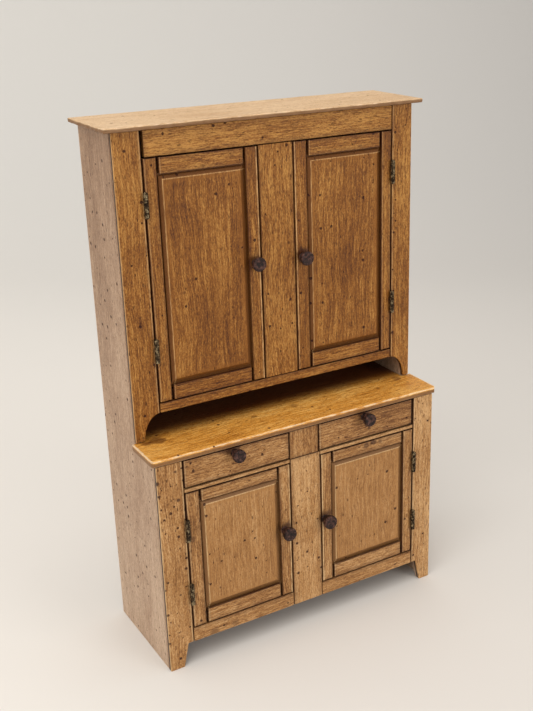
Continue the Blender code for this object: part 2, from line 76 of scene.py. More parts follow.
# How far a door's pieces reach out of sight behind each other, and the gap round a door
PANEL_STEP = 2.6 * MM
RAIL_TONGUE = 2.0 * MM
DOOR_GAP = 0.45 * MM

# The depths between which the worktop is painted darker towards the wall, a painted shade under the upper
# case, and the back panel's outer skin
WORKTOP_SHADE = (-6.5 * MM, 4.5 * MM)
BACK_SKIN = 1.0 * MM

# Easing of the arrises, welding of corners, and the angle from which an edge is sharp, in degrees
ARRIS_RADIUS = 0.16 * MM
BEVEL_ANGLE = 35
SHARP_ANGLE = 42
WELD_DISTANCE = 0.001 * MM

# Wood shading, down to the wood's surface. Distances are in shader millimetres, and frequencies per
# millimetre. A pair is a fade's two ends. Noise is (across the grain, along it, detail, roughness),
# and a grain layer has its weight in the tone before that.
GRAIN_LAYERS = {
    "streak": (1.5, 1.7, 0.035, 5.0, 0.68),
    "fine": (1.5, 4.0, 0.25, 3.0, 0.7),
    "speck": (1.1, 3.2, 1.5, 2.0, 0.6),
    "cloud": (0.9, 0.07, 0.03, 3.0, 0.55),
    "blotch": (0.5, 0.30, 0.12, 4.0, 0.65),
}
GRAIN_SHIFT = 500.0
BEND_NOISE = (0.05, 0.03, 2.0, 0.5)
BEND = 6.0
PORE_NOISE = (4.0, 0.5, 1.0, 0.4)
PORE_RANGE = (0.58, 0.66)
PORE_DARKNESS = 0.6

# A distance from a side that stands for no side near
FAR = 99.0

# Dirt and painted shade at a gap, in a soft reach and then a hard line, and the cleaner bevel of a panel
GRIME_AND_SHADE_REACH = (1.8, 0.2)
GRIME_AND_SHADE_PATCHES = (0.3, 0.6)
LINE_START = 0.02
LINE_RAGGEDNESS = 0.8
BEVEL_REACH = (1.9, 1.5)
BEVEL_CLEANNESS = 0.45

# The painted highlight beside a gap, where an arris catches the light, and the rubbing of the arrises
HIGHLIGHT_START = (0.22, 0.34)
HIGHLIGHT_END = (0.72, 0.42)
HIGHLIGHT_PATCHES = (0.36, 0.58)
LEAST_HIGHLIGHT = 0.15
RUB_NOISE = (0.9, 0.28, 3.0, 0.6)
RUB_RANGE = (0.36, 0.70)
RUB_FADE = (1.15, 0.45)

# Dark marks, painted shade on the lower part of a board's edge, and painted shade in places out of the
# light
STAIN_RAGGEDNESS = 1.6
STAIN_CORE = 0.4
UNDER_EDGE_SHADE = (118, 80, 46)
UNDER_RAGGEDNESS = 0.5
UNDER_FADE = 0.4
UNDER_SHADE_STRENGTH = 0.85
SHADE_STRENGTH = 0.92
INSIDE_SHADE_STRENGTH = 0.85

# Behind a stile's front: where the side board's look begins, and the crack between the two
SEAM_EDGE = (0.55, 0.65)
SEAM_CONTRAST = 0.8
SEAM_SHIFT = 5.3
CRACK_START = (0.44, 0.55)
CRACK_END = (1.54, 1.265)
CRACK_STRENGTH = 0.95

# Where most of a noise lies, and the wood's surface. A bump is (strength, depth in metres)
MIDDLE_RANGE = (0.3, 0.7)
WOOD_ROUGHNESS = (0.40, 0.58)
WORN_ROUGHNESS = 0.2
HOLE_ROUGHNESS = 0.3
WOOD_SHINE = 0.28
COAT_ROUGHNESS = 0.34
PORE_DEPTH = -0.5
HOLE_DEPTH = -2.6
WOOD_BUMP = (0.7, 0.16 * MM)

# Worm holes and dents, in shader millimetres, and how they gather in clusters
WORM_SPACING = 4.2
WORM_RADIUS = 0.52
DENT_SPACING = 1.9
DENT_RADIUS = 0.20
DENT_DEPTH = 0.75
DENT_SQUASH = 0.35
DENT_SEED = 40
LEAST_PIT = 0.4
PIT_WOBBLE = 1.7
PIT_RAGGEDNESS = 0.8
PIT_FADE = (1.2, 0.7)
PIT_SHIFT = 17.31
HOLE_DARKNESS = 0.9
CLUSTER_FREQUENCY = 0.07
CLUSTER_RANGE = (0.35, 0.65)
CLUSTER_SHARES = (0.25, 1.6)
BROAD_FACE = 0.7

# Stains: deep, middle and light wood, the bare wood under a worn edge, also used for painted highlights,
# and the dirt in a hollow, also used for painted shade
Palette = namedtuple("Palette", "deep middle light bare dirt")
PALETTES = {
    "top_wood": Palette((176, 134, 94), (214, 179, 136), (232, 203, 167), (242, 220, 190), (92, 60, 36)),
    "worktop_wood": Palette((146, 84, 14), (216, 150, 60), (244, 196, 112), (240, 220, 186), (64, 8, 1)),
    "side_wood": Palette((122, 90, 66), (172, 140, 113), (206, 178, 151), (232, 208, 178), (50, 28, 18)),
    "upper_wood": Palette((72, 32, 2), (134, 82, 24), (186, 134, 66), (218, 174, 118), (50, 16, 6)),
    "lower_wood": Palette((98, 56, 20), (164, 117, 66), (206, 164, 114), (228, 194, 144), (54, 21, 8)),
    # The inside's wood is kept very dark, a painted shade for the cupboard's inside
    "inside_wood": Palette((52, 26, 12), (78, 42, 20), (100, 60, 32), (118, 76, 46), (24, 10, 5)),
}

# How a piece has aged, and the light and shade painted on it, unless look_of says otherwise. Places in Y
# and Z and the depth of "under" are in metres, and the line width and rubs are in shader millimetres
USUAL_LOOK = {
    "contrast": 1.0,
    # Painted light: how much lighter the foot and darker the top are
    "fade": 0.0,
    "rim": "",
    "above": None,
    # Dirt and painted shade at the gaps: the soft darkening, then the hard line and its width
    "grime": 0.35,
    "line": 0.8,
    "line_width": 0.26,
    "bevel": False,
    # The painted highlight beside a gap: the sides it runs along, and its strength
    "pale": "",
    "pale_strength": 0.6,
    "arris": "",
    "least_rub": 0.1,
    "rub": 0.5,
    "wear": 0.0,
    # Painted shade on a board's edge, from this depth below its top
    "under": None,
    "shaded_from": None,
    "seam_behind": None,
    # Painted shade on the back panel's inner face, nearer the front than this depth
    "inside_before": None,
    "holes": 0.1,
    "coat": 0.04,
}

# How common the age marks are on each piece, where it differs from the usual
HOLES = {
    "left_side_panel": 0.3,
    "right_side_panel": 0.3,
    "lower_left_stile": 0.5,
    "upper_left_stile": 0.3,
    "lower_left_door_panel": 0.25,
    "lower_right_door_panel": 0.14,
    "upper_left_door_panel": 0.12,
    "upper_right_door_panel": 0.12,
    "upper_centre_stile": 0.25,
    "lower_centre_stile": 0.25,
    "lower_right_stile": 0.2,
    "upper_right_stile": 0.2,
    "drawer_divider": 0.3,
    "left_drawer_front": 0.2,
    "right_drawer_front": 0.25,
    "back_panel": 0.1,
}

# The sides of each fixed front piece, less the outer stiles, that a dark gap runs along
FRONT_SIDES = {
    "upper_top_rail": "LB",
    "upper_centre_stile": "LR",
    "upper_bottom_rail": "T",
    "lower_centre_stile": "LRT",
    "drawer_divider": "LRTB",
    "left_drawer_rail": "TB",
    "right_drawer_rail": "TB",
    "left_bottom_rail": "T",
    "right_bottom_rail": "T",
}

# Words in the names of the pieces whose grain runs upwards
UPRIGHT = ("stile", "panel", "divider")

# How light each piece is, 0..1, where it differs from the usual. The lower case's right-hand and centre
# stiles are lighter partly as painted light, where the front light falls more on the right
USUAL_TONE = 0.54
TONES = {
    "upper_top_rail": 0.78,
    "upper_left_stile": 0.60,
    "upper_right_stile": 0.60,
    "upper_centre_stile": 0.58,
    "lower_right_stile": 0.82,
    "lower_centre_stile": 0.74,
    "right_drawer_front": 0.36,
    "lower_right_door_panel": 0.48,
    "lower_left_door_panel": 0.52,
    "left_drawer_rail": 0.80,
    "right_drawer_rail": 0.80,
}

# Odd dark marks on the lower case's front and the worktop: a point and a radius, both in millimetres,
# and a strength
FRONT = -18.9
WORKTOP = 78.0
STAINS = {
    "lower_left_stile": (
        ((-53.6, FRONT, 70.0), 0.9, 0.9),
        ((-53.2, FRONT, 65.5), 0.8, 0.9),
        ((-47.2, FRONT, 72.6), 0.7, 0.8),
        ((-46.8, FRONT, 62.5), 0.8, 0.8),
        ((-47.5, FRONT, 45.2), 0.5, 0.8),
        ((-52.4, FRONT, 34.0), 0.6, 0.9),
        ((-53.4, FRONT, 31.4), 0.6, 0.9),
        ((-48.3, FRONT, 28.0), 0.5, 0.8),
        ((-53.2, FRONT, 22.0), 0.8, 0.9),
        ((-52.6, FRONT, 19.0), 0.5, 0.8),
        ((-53.4, FRONT, 11.0), 0.6, 0.9),
        ((-48.6, FRONT, 11.6), 0.4, 0.8),
        ((-48.0, FRONT, 6.4), 0.4, 0.8),
    ),
    "lower_right_door_top_rail": (
        ((25.0, FRONT, 62.4), 1.6, 0.6),
        ((28.0, FRONT, 62.9), 1.7, 0.7),
        ((31.0, FRONT, 62.5), 1.2, 0.5),
    ),
    "left_bottom_rail": (((-37.0, FRONT, 9.4), 2.2, 0.45), ((-29.0, FRONT, 10.2), 1.8, 0.35)),
    "lower_left_door_hinge_stile": (((-42.6, FRONT, 47.0), 1.5, 0.4), ((-42.8, FRONT, 62.0), 1.2, 0.3)),
    "right_drawer_front": (
        ((25.0, FRONT, 70.3), 0.8, 0.7),
        ((26.2, FRONT, 69.0), 0.7, 0.6),
    ),
    "left_drawer_front": (((-29.5, FRONT, 75.2), 1.6, 0.6), ((-31.5, FRONT, 75.4), 1.2, 0.5)),
    "worktop": (
        ((-47.0, -5.2, WORKTOP), 3.2, 0.65),
        ((-51.0, -5.6, WORKTOP), 2.2, 0.6),
        ((48.0, -5.2, WORKTOP), 2.4, 0.5),
        ((37.0, -8.6, WORKTOP), 1.0, 0.45),
        ((-12.0, -6.0, WORKTOP), 1.6, 0.4),
        ((4.0, -5.6, WORKTOP), 2.0, 0.4),
    ),
}

# Butt hinges: five knuckles on a pin, and a leaf each for the case and the door, which starts some share
# of the knuckle's radius behind the pin
KNUCKLES = 5
KNUCKLE_RADIUS = 0.78 * MM
KNUCKLE_GAP = 0.08 * MM
KNUCKLE_ROUNDING = 0.1 * MM
PIN_RADIUS = 0.42 * MM
PIN_DOME = 0.3 * MM
LEAF_THICKNESS = 0.11 * MM
LEAF_OFFSET = 0.05 * MM
LEAF_DEPTH = 1.9 * MM
LEAF_END = 0.3 * MM
LEAF_START = 0.6
LEAF_EASING = 0.02 * MM
KNUCKLE_SEGMENTS = 20
PIN_SEGMENTS = 16
PIN_STEPS = 4
PIN_SUNK = 0.4 * MM

# The top board's edges: how far in the wear goes, and steps round its rounded arrises
BOARD_SPACING = 0.7 * MM
BOARD_RIM = 1.0 * MM
BOARD_EASING = 0.35 * MM
BOARD_BITE = 0.35 * MM
BOARD_CHIP_SIZE = 2.2 * MM
BITE_BIAS = 0.4
BOARD_SEED = 1
EASING_STEPS = ((1.0, 0.0), (0.5, 0.13), (0.13, 0.5), (0.0, 1.0))

# Knobs, as (share of the radius, share of the length) from the middle of the front to the neck
KNOB_PROFILE = (
    (0.0, 0.965),
    (0.30, 0.975),
    (0.62, 0.99),
    (0.84, 1.0),
    (0.93, 0.985),
    (0.985, 0.93),
    (1.0, 0.84),
    (0.985, 0.72),
    (0.92, 0.56),
    (0.80, 0.40),
    (0.64, 0.26),
    (0.54, 0.17),
    (0.52, 0.10),
    (0.56, 0.03),
    (0.60, 0.0),
)
KNOB_SEGMENTS = 40
KNOB_WOBBLE = 0.05 * MM
WOBBLE_FREQUENCY = 700.0
WOBBLE_SEED_STEP = 11.0

# Knob paint, in dark, usual and rubbed colours, the rubbed one also a painted highlight, and the
# tarnished brass of the hinges
KNOB_COLOURS = ((14, 6, 5), (40, 21, 18), (90, 60, 52))
KNOB_RUB_AND_HIGHLIGHT = (116, 88, 76)
KNOB_RUB_AND_HIGHLIGHT_RANGE = (0.55, 0.75)
KNOB_RUB_AND_HIGHLIGHT_SHARE = 0.3
KNOB_SHIFT = 3.7
KNOB_PATCHES = 0.9
KNOB_SPECKS = 3.5
KNOB_ROUGHNESS = (0.38, 0.60)
KNOB_SHINE = 0.25
KNOB_BUMP = (0.5, 0.15 * MM)
BRASS_COLOURS = ((24, 17, 12), (66, 52, 36), (156, 140, 108))
BRASS_PATCHES = (1.3, 1.3, 0.9)
BRASS_ROUGHNESS = (0.62, 0.30)
BRASS_METAL = 0.85
BRASS_BUMP = (0.6, 0.1 * MM)

# Dark rings on the wood that a knob or hinge is this near to
FITTING_REACH = 3.0 * MM
RING_MARGIN = 0.7 * MM
RING_RAISE = 0.5 * MM
KNOB_RING = 0.75
HINGE_RING = 0.5

# The colour sockets of a Mix node, which share their names with its other sockets
MIX_COLOURS = (6, 7)
MIX_RESULT = 2

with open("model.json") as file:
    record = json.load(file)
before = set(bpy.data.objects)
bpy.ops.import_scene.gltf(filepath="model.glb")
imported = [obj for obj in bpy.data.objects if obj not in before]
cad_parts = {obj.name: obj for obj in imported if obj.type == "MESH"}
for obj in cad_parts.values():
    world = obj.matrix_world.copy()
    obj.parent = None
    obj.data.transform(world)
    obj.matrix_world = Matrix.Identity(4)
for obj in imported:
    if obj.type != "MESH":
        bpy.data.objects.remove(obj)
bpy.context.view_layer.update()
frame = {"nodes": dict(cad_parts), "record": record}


def linear(colour):
    """A 0-255 display colour as linear RGBA."""
    shares = [channel / 255.0 for channel in colour]
    values = [s / 12.92 if s <= 0.04045 else ((s + 0.055) / 1.055) ** 2.4 for s in shares]
    return (*values, 1.0)


class Graph:
    """A short way to write one material's nodes."""

    def __init__(self, name):
        self.material = bpy.data.materials.new(name)
        self.material.use_nodes = True
        self.tree = self.material.node_tree
        self.shader = self.tree.nodes["Principled BSDF"]

    def node(self, kind, inputs=(), **settings):
        """A new node, with its inputs fed and its settings set."""
        node = self.tree.nodes.new(kind)
        for key, value in settings.items():
            setattr(node, key, value)
        for key, value in dict(inputs).items():
            self.feed(node.inputs[key], value)
        return node

    def feed(self, socket, value):
        """Links an input to a socket, or sets its value."""
        if isinstance(value, bpy.types.NodeSocket):
            self.tree.links.new(value, socket)
        else:
            socket.default_value = value

    def set_shader(self, values):
        """Feeds the surface shader's sockets by name."""
        for key, value in values.items():
            self.feed(self.shader.inputs[key], value)

    def bump(self, height, strength, depth):
        """Raises the surface by height, where 1 stands for a depth in metres."""
        inputs = {"Strength": strength, "Distance": depth, "Height": height}
        self.set_shader({"Normal": self.node("ShaderNodeBump", inputs).outputs[0]})

    def math(self, operation, first, second=0.0, third=0.0, clamp=False):
        values = {0: first, 1: second, 2: third}
        return self.node("ShaderNodeMath", values, operation=operation, use_clamp=clamp).outputs[0]

    def vector(self, operation, first, second=(0.0, 0.0, 0.0)):
        return self.node("ShaderNodeVectorMath", {0: first, 1: second}, operation=operation).outputs[0]

    def distance(self, first, second):
        node = self.node("ShaderNodeVectorMath", {0: first, 1: second}, operation="DISTANCE")
        return node.outputs["Value"]

    def parts(self, vector):
        node = self.node("ShaderNodeSeparateXYZ", {0: vector})
        return [node.outputs[i] for i in range(3)]

    def joined(self, x, y, z):
        return self.node("ShaderNodeCombineXYZ", {0: x, 1: y, 2: z}).outputs[0]

    def millimetres(self):
        """Object coordinates in millimetres."""
        return self.scaled(self.node("ShaderNodeTexCoord").outputs["Object"], PER_METRE)

    def scaled(self, coords, factor):
        return self.vector("MULTIPLY", coords, (factor, factor, factor))

    def noise(self, coords, detail=2.0, roughness=0.5):
        inputs = {"Vector": coords, "Scale": 1.0, "Detail": detail, "Roughness": roughness}
        return self.node("ShaderNodeTexNoise", inputs).outputs[0]

    def swayed(self, value, noise, amount):
        """Value moved up or down by a noise, whose middle is 0.5."""
        return self.math("MULTIPLY_ADD", self.math("SUBTRACT", noise, 0.5), amount, value)

    def spread(self, value, low, high, start=0.0, end=1.0, smooth=True):
        """Value's range low..high stretched to start..end and held there outside it."""
        inputs = {"Value": value, "From Min": low, "From Max": high, "To Min": start, "To Max": end}
        kind = "SMOOTHSTEP" if smooth else "LINEAR"
        return self.node("ShaderNodeMapRange", inputs, interpolation_type=kind).outputs[0]

    def ramp(self, factor, colours):
        """Colours evenly spaced along factor 0..1."""
        node = self.node("ShaderNodeValToRGB", {0: factor})
        stops = node.color_ramp.elements
        while len(stops) < len(colours):
            stops.new(0.5)
        for number, (stop, colour) in enumerate(zip(stops, colours)):
            stop.position = number / (len(colours) - 1)
            stop.color = linear(colour)
        return node.outputs[0]

    def mix(self, factor, first, second, blend="MIX"):
        """Two colours mixed, where a colour is a socket or a 0-255 display colour."""
        node = self.node("ShaderNodeMix", data_type="RGBA", blend_type=blend)
        self.feed(node.inputs["Factor"], factor)
        for index, colour in zip(MIX_COLOURS, (first, second)):
            self.feed(node.inputs[index], linear(colour) if isinstance(colour, tuple) else colour)
        return node.outputs[MIX_RESULT]


class Wood(Graph):
    """Old stained wood for one piece, painted in layers one over another.

    Its box, whose edges are the worn ones, is given in metres and kept in shader millimetres.
    """

    def __init__(self, name, slot, box, grain, seed, look):
        super().__init__(name)
        self.usual_tone = TONES.get(name, USUAL_TONE)
        self.palette = PALETTES[slot]
        self.low = box[0] * PER_METRE
        self.high = box[1] * PER_METRE
        self.grain = grain
        self.seed = seed
        self.look = look
        self.coords = self.millimetres()
        self.x, self.y, self.z = self.parts(self.coords)
        self.along = self.bent_grain()

    def paint(self, share, colour):
        """Lays a colour over what is there already."""
        self.colour = self.mix(share, self.colour, colour)

    def grain_noise(self, coords, across, along, detail, roughness):
        """Noise with one frequency across the grain and another along it."""
        return self.noise(self.vector("MULTIPLY", coords, (across, across, along)), detail, roughness)

    def bent_grain(self):
        """Coordinates with the grain along Z, moved to a place of this piece's own and gently bent."""
        turned = {"X": (self.y, self.z, self.x), "Z": (self.x, self.y, self.z)}[self.grain]
        shift = random.Random(self.seed)
        offset = [shift.uniform(-GRAIN_SHIFT, GRAIN_SHIFT) for _ in range(3)]
        along = self.vector("ADD", self.joined(*turned), offset)
        bend = self.math("MULTIPLY", self.grain_noise(along, *BEND_NOISE), BEND)
        return self.vector("ADD", along, self.joined(bend, 0.0, 0.0))

    def board_tone(self, along, usual, contrast):
        """How light the wood is, 0..1, from broad clouds down to the finest streaks, and its layers."""
        tone = usual
        layers = {}
        for name, (weight, *frequencies) in GRAIN_LAYERS.items():
            layers[name] = self.grain_noise(along, *frequencies)
            tone = self.swayed(tone, layers[name], weight * contrast)
        return self.math("ADD", tone, 0.0, clamp=True), layers

    def side_distance(self, sides, above=None):
        """Millimetres to the nearest of some sides of the box: L and R in X, B and T in Z.

        Below the height given as above there is no side to be near.
        """
        spans = {
            "L": (self.x, self.low.x),
            "R": (self.high.x, self.x),
            "B": (self.z, self.low.z),
            "T": (self.high.z, self.z),
        }
        nearest = FAR
        for side in sides:
            nearest = self.math("MINIMUM", nearest, self.math("SUBTRACT", *spans[side]))
        if above is not None:
            nearest = self.math("MAXIMUM", nearest, self.math("SUBTRACT", above * PER_METRE, self.z))
        return nearest

    def edge_distance(self):
        """Millimetres along the surface of the box to its nearest arris."""
        from_low = self.vector("SUBTRACT", self.coords, tuple(self.low))
        from_high = self.vector("SUBTRACT", tuple(self.high), self.coords)
        x, y, z = self.parts(self.vector("MINIMUM", from_low, from_high))
        nearer = self.math("MINIMUM", x, y)
        farther = self.math("MAXIMUM", x, y)
        return self.math("MAXIMUM", nearer, self.math("MINIMUM", farther, z))

    def stain(self):
        """The stained wood itself, painted lighter towards the foot and darker towards the top as painted
        light, and its dark pores.
        """
        usual = self.usual_tone
        fade = self.look["fade"]
        if fade:
            usual = self.spread(self.z, self.low.z, self.high.z, usual + fade, usual - fade)
        tone, layers = self.board_tone(self.along, usual, self.look["contrast"])
        self.blotch = layers["blotch"]
        self.fine = layers["fine"]
        self.colour = self.ramp(tone, self.palette[:3])
        self.pore = self.spread(self.grain_noise(self.along, *PORE_NOISE), *PORE_RANGE)
        darkness = PORE_DARKNESS * self.look["contrast"]
        self.paint(self.math("MULTIPLY", self.pore, darkness), self.palette.deep)

    def add_rim_dirt_and_shade(self):
        """Dirt and painted shade at the gaps along some sides: a soft darkening, a hard ragged line and a
        cleaner bevel.
        """
        gap = self.side_distance(self.look["rim"], self.look["above"])
        grime = self.math("MULTIPLY", self.spread(gap, *GRIME_AND_SHADE_REACH), self.look["grime"])
        grime = self.math("MULTIPLY", grime, self.spread(self.blotch, *GRIME_AND_SHADE_PATCHES))
        self.paint(grime, self.palette.dirt)
        ragged = self.swayed(gap, self.blotch, LINE_RAGGEDNESS)
        line = self.spread(ragged, self.look["line_width"], LINE_START)
        self.paint(self.math("MULTIPLY", line, self.look["line"]), self.palette.dirt)
        if self.look["bevel"]:
            self.paint(self.spread(gap, *BEVEL_REACH, 0.0, BEVEL_CLEANNESS), self.palette.middle)

    def add_pale_line(self):
        """A broken painted highlight just inside some sides, where their arrises catch the light, in the
        bare wood's colour.
        """
        edge = self.side_distance(self.look["pale"], self.look["above"])
        line = self.math("MULTIPLY", self.spread(edge, *HIGHLIGHT_START), self.spread(edge, *HIGHLIGHT_END))
        patches = self.spread(self.fine, *HIGHLIGHT_PATCHES, LEAST_HIGHLIGHT, self.look["pale_strength"])
        self.paint(self.math("MULTIPLY", line, patches), self.palette.bare)

    def wear_arrises(self):
        """Bare wood at the arrises, further in where they are rubbed more."""
        rub = self.grain_noise(self.along, *RUB_NOISE)
        reach = self.spread(rub, *RUB_RANGE, self.look["least_rub"], self.look["rub"])
        arris = self.look["arris"]
        edge = self.side_distance(arris) if arris else self.edge_distance()
        worn = self.spread(self.math("DIVIDE", edge, reach), *RUB_FADE)
        self.worn = self.math("MULTIPLY", worn, self.look["wear"])
        self.paint(self.worn, self.palette.bare)

    def add_stains(self):
        """Dark marks with ragged edges."""
        for point, radius, strength in self.look["stains"]:
            size = radius * PER_METRE
            away = self.distance(self.coords, tuple(point * PER_METRE))
            ragged = self.swayed(away, self.blotch, STAIN_RAGGEDNESS * size)
            mark = self.spread(ragged, size, STAIN_CORE * size)
            self.paint(self.math("MULTIPLY", mark, strength), self.palette.dirt)

    def shade_under_edge(self):
        """Painted shade on the lower part of a board's edge, below its top arris."""
        start = self.look["under"] * PER_METRE
        below = self.math("SUBTRACT", self.high.z, self.z)
        ragged = self.swayed(below, self.blotch, UNDER_RAGGEDNESS)
        self.paint(self.spread(ragged, start, start + UNDER_FADE, 0.0, UNDER_SHADE_STRENGTH), UNDER_EDGE_SHADE)

    def shade_back(self):
        """Painted shade, darker from one depth to another towards the wall, where the upper case shades
        the worktop.
        """
        start, end = (y * PER_METRE for y in self.look["shaded_from"])
        self.paint(self.spread(self.y, start, end, 0.0, SHADE_STRENGTH), self.palette.dirt)

    def add_seam(self):
        """The side board's look carried round a stile up to a dark crack just behind its front arris."""
        side = PALETTES["side_wood"]
        behind = self.math("SUBTRACT", self.y, self.look["seam_behind"] * PER_METRE)
        along = self.vector("ADD", self.coords, (self.seed * SEAM_SHIFT, 0.0, 0.0))
        tone, _ = self.board_tone(along, USUAL_TONE, SEAM_CONTRAST)
        self.paint(self.spread(behind, *SEAM_EDGE), self.ramp(tone, side[:3]))
        crack = self.math("MULTIPLY", self.spread(behind, *CRACK_START), self.spread(behind, *CRACK_END))
        self.paint(self.math("MULTIPLY", crack, CRACK_STRENGTH), side.dirt)

    def paint_inside_shade(self):
        """Painted shade on the inner face of the back panel, as dark as the shaded inside of the
        cupboard.
        """
        inner = self.math("LESS_THAN", self.y, self.look["inside_before"] * PER_METRE)
        self.paint(self.math("MULTIPLY", inner, INSIDE_SHADE_STRENGTH), PALETTES["inside_wood"].deep)

    def pits(self, plane, seed, spacing, share, size):
        """1 inside small ragged pits scattered over a plane, about one to a cell where share allows."""
        place = self.vector("ADD", plane, (0.0, 0.0, seed * PIT_SHIFT))
        inputs = {"Vector": place, "Scale": 1.0 / spacing, "Randomness": 1.0}
        cells = self.node("ShaderNodeTexVoronoi", inputs, voronoi_dimensions="2D", feature="F1")
        draw, width, _ = self.parts(cells.outputs["Color"])
        radius = self.spread(width, 0.0, 1.0, LEAST_PIT * size / spacing, size / spacing)
        wobble = self.noise(self.scaled(place, PIT_WOBBLE))
        ragged = self.swayed(cells.outputs["Distance"], wobble, PIT_RAGGEDNESS * size / spacing)
        inside = self.spread(self.math("DIVIDE", ragged, radius), *PIT_FADE)
        return self.math("MULTIPLY", inside, self.math("LESS_THAN", draw, share))

    def age_marks(self, share):
        """Worm holes, and shorter dents drawn out along the grain, in clusters on the broad faces."""
        size = self.high - self.low
        thin_axis = min(range(3), key=lambda axis: size[axis])
        across, up = [part for axis, part in enumerate((self.x, self.y, self.z)) if axis != thin_axis]
        plane = self.joined(across, up, 0.0)
        place = self.vector("ADD", self.scaled(plane, CLUSTER_FREQUENCY), (self.seed, 0.0, 0.0))
        cluster = self.noise(place)
        fewest, most = (factor * share for factor in CLUSTER_SHARES)
        crowd = self.spread(cluster, *CLUSTER_RANGE, fewest, most)
        holes = self.pits(plane, self.seed, WORM_SPACING, crowd, WORM_RADIUS)
        squash = (1.0, DENT_SQUASH, 1.0) if self.grain == "Z" else (DENT_SQUASH, 1.0, 1.0)
        drawn = self.vector("MULTIPLY", plane, squash)
        dents = self.pits(drawn, self.seed + DENT_SEED, DENT_SPACING, crowd, DENT_RADIUS)
        normal = self.parts(self.node("ShaderNodeTexCoord").outputs["Normal"])[thin_axis]
        broad = self.math("GREATER_THAN", self.math("ABSOLUTE", normal), BROAD_FACE)
        marks = self.math("MAXIMUM", holes, self.math("MULTIPLY", dents, DENT_DEPTH))
        return self.math("MULTIPLY", broad, marks)

    def finish_surface(self):
        """The holes, then the wood's gloss and its fine relief."""
        hollow = self.age_marks(self.look["holes"])
        self.paint(self.math("MULTIPLY", hollow, HOLE_DARKNESS), self.palette.dirt)
        rough = self.spread(self.fine, *MIDDLE_RANGE, *WOOD_ROUGHNESS)
        rough = self.math("MULTIPLY_ADD", self.worn, WORN_ROUGHNESS, rough)
        rough = self.math("MULTIPLY_ADD", hollow, HOLE_ROUGHNESS, rough, clamp=True)
        values = {
            "Base Color": self.colour,
            "Roughness": rough,
            "Specular IOR Level": WOOD_SHINE,
            "Coat Weight": self.look["coat"],
            "Coat Roughness": COAT_ROUGHNESS,
        }
        self.set_shader(values)
        height = self.math("MULTIPLY_ADD", self.pore, PORE_DEPTH, self.fine)
        height = self.math("MULTIPLY_ADD", hollow, HOLE_DEPTH, height)
        self.bump(height, *WOOD_BUMP)

    def build(self):
        """Paints every layer that the look asks for, and gives the material."""
        self.stain()
        if self.look["rim"]:
            self.add_rim_dirt_and_shade()
        if self.look["pale"]:
            self.add_pale_line()
        self.wear_arrises()
        self.add_stains()
        places = {
            "under": self.shade_under_edge,
            "shaded_from": self.shade_back,
            "seam_behind": self.add_seam,
            "inside_before": self.paint_inside_shade,
        }
        for key, layer in places.items():
            if self.look[key] is not None:
                layer()
        self.finish_surface()
        return self.material


def dark_knob(name, seed):
    """Turned hardwood under old dark paint, with lighter patches that are rubbed paint and also painted
    highlight.
    """
    g = Graph(name)
    coords = g.vector("ADD", g.millimetres(), (seed * KNOB_SHIFT, 0.0, 0.0))
    patch = g.noise(g.scaled(coords, KNOB_PATCHES), 4.0, 0.6)
    fine = g.noise(g.scaled(coords, KNOB_SPECKS), 3.0, 0.6)
    colour = g.ramp(g.spread(patch, *MIDDLE_RANGE), KNOB_COLOURS)
    colour = g.mix(g.spread(fine, *KNOB_RUB_AND_HIGHLIGHT_RANGE, 0.0, KNOB_RUB_AND_HIGHLIGHT_SHARE), colour, KNOB_RUB_AND_HIGHLIGHT)
    rough = g.spread(fine, *MIDDLE_RANGE, *KNOB_ROUGHNESS)
    g.set_shader({"Base Color": colour, "Roughness": rough, "Specular IOR Level": KNOB_SHINE})
    g.bump(fine, *KNOB_BUMP)
    return g.material


def aged_brass(name):
    """Old brass, dull brown where it has tarnished."""
    g = Graph(name)
    patch = g.noise(g.vector("MULTIPLY", g.millimetres(), BRASS_PATCHES), 4.0, 0.65)
    colour = g.ramp(g.spread(patch, *MIDDLE_RANGE), BRASS_COLOURS)
    rough = g.spread(patch, *MIDDLE_RANGE, *BRASS_ROUGHNESS)
    g.set_shader({"Base Color": colour, "Roughness": rough, "Metallic": BRASS_METAL})
    g.bump(patch, *BRASS_BUMP)
    return g.material


def assign(obj, material):
    """Gives an object one material in place of its own."""
    obj.data.materials.clear()
    obj.data.materials.append(material)


def ease_edges(obj, radius):
    """Rounds a CAD node's arrises a little, without touching its own mesh."""
    weld = obj.modifiers.new("join_corners", "WELD")
    weld.merge_threshold = WELD_DISTANCE
    bevel = obj.modifiers.new("eased_arrises", "BEVEL")
    bevel.width = radius
    bevel.segments = 2
    bevel.limit_method = "ANGLE"
    bevel.angle_limit = math.radians(BEVEL_ANGLE)


def slot_of(node):
    """A CAD node's material slot in the record."""
    rows = frame["record"]["subparts"]
    return next(row["material_slot"] for row in rows if row["node"] == node)


def frame_stile(side, rail):
    """A face-frame stile's look: worn outside, and along its opening down to the height rail dark with
    dirt and painted shade, with a painted highlight beside the gap.
    """
    inner, outer = ("R", "L") if side == "left" else ("L", "R")
    return {"rim": inner, "pale": inner, "arris": outer, "wear": 0.45, "rub": 0.36, "above": rail}


def stains_on(name):
    """Dark marks round the knobs and hinges that touch this piece, and its own odd marks."""
    marks = STAINS.get(name, ())
    stains = [(Vector(point) * MM, radius * MM, strength) for point, radius, strength in marks]
    low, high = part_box(name)
    for node in frame["nodes"]:
        if not node.endswith(("_knob", "_hinge")):
            continue
        near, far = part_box(node)
        middle = (near + far) / 2
        apart = max(low.x - middle.x, middle.x - high.x, low.z - middle.z, middle.z - high.z)
        if abs(far.y - low.y) > FITTING_REACH or apart > FITTING_REACH:
            continue
        spread = 0.5 * (far.x - near.x) + RING_MARGIN
        point = Vector((middle.x, low.y, middle.z + RING_RAISE))
        stains.append((point, spread, KNOB_RING if node.endswith("_knob") else HINGE_RING))
    return stains


